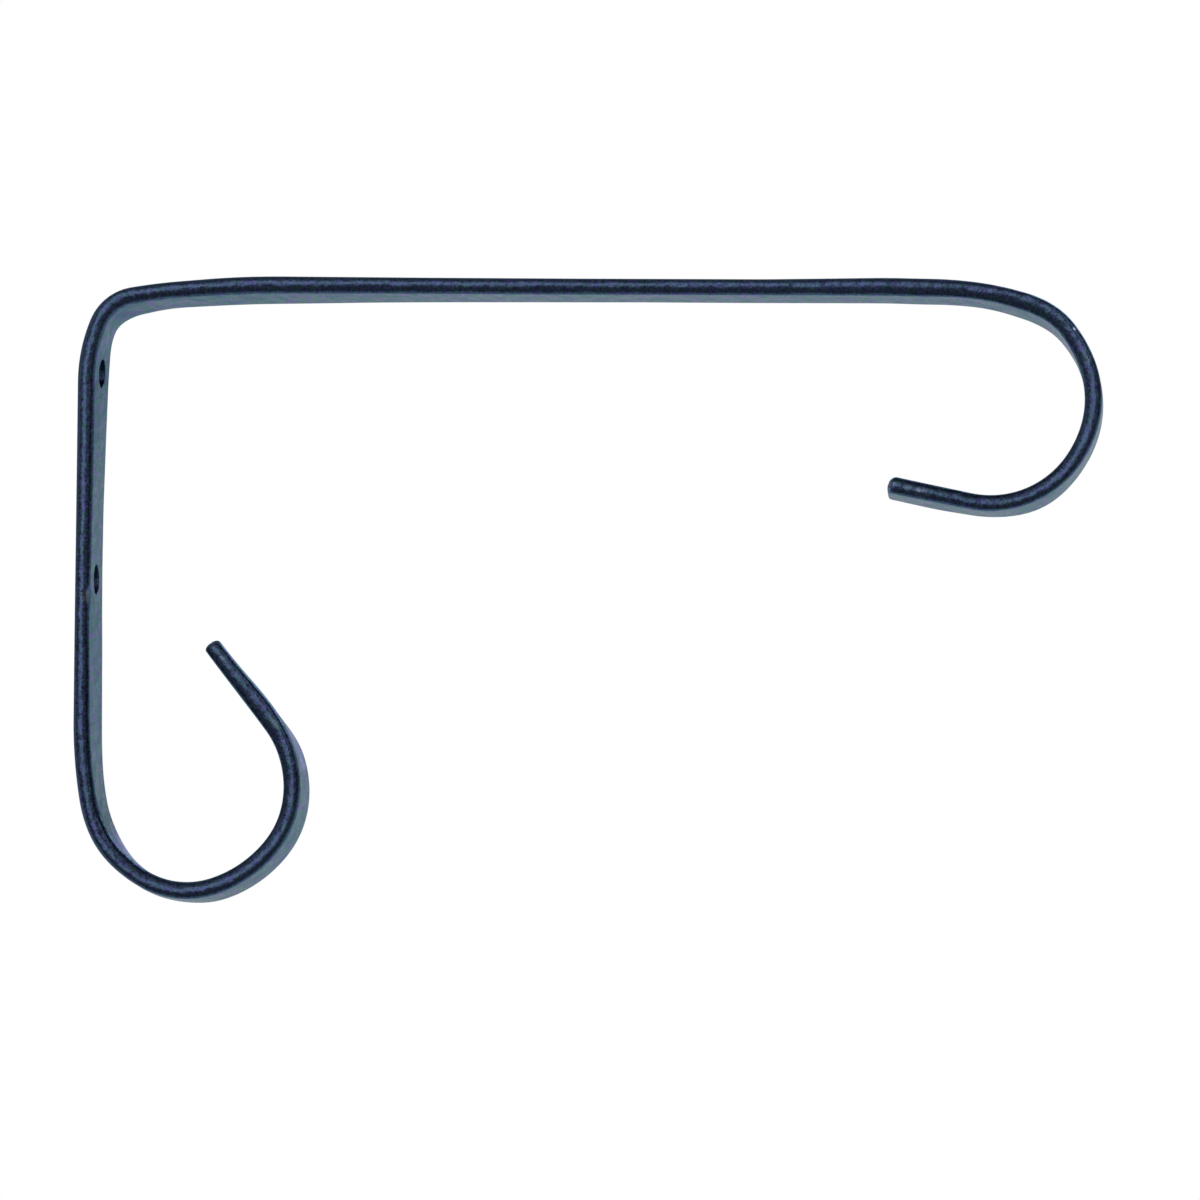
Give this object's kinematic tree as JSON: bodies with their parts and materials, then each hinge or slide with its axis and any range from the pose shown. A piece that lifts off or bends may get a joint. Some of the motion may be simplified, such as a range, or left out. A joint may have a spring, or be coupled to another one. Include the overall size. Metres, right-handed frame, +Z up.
{
  "type": "hanging plant bracket",
  "caption": "Flat steel bar bent into a wall leg with screw holes, a level arm ending in an open hook, and a scrolled foot, to hang a plant pot out from a wall.",
  "frame": {"origin": "on the leg's wall face, midway between the two screw holes and in the middle of the bar's width", "axes": "+X out from the wall along the arm, +Z up along the leg, Y across the bar's width"},
  "size_m": [0.1963, 0.016, 0.1192],
  "materials": {
    "satin_paint": "blue-black satin powder coat with a fine grain"
  },
  "bodies": {
    "root": {"bent_bar": "satin_paint"}
  },
  "joints": []
}
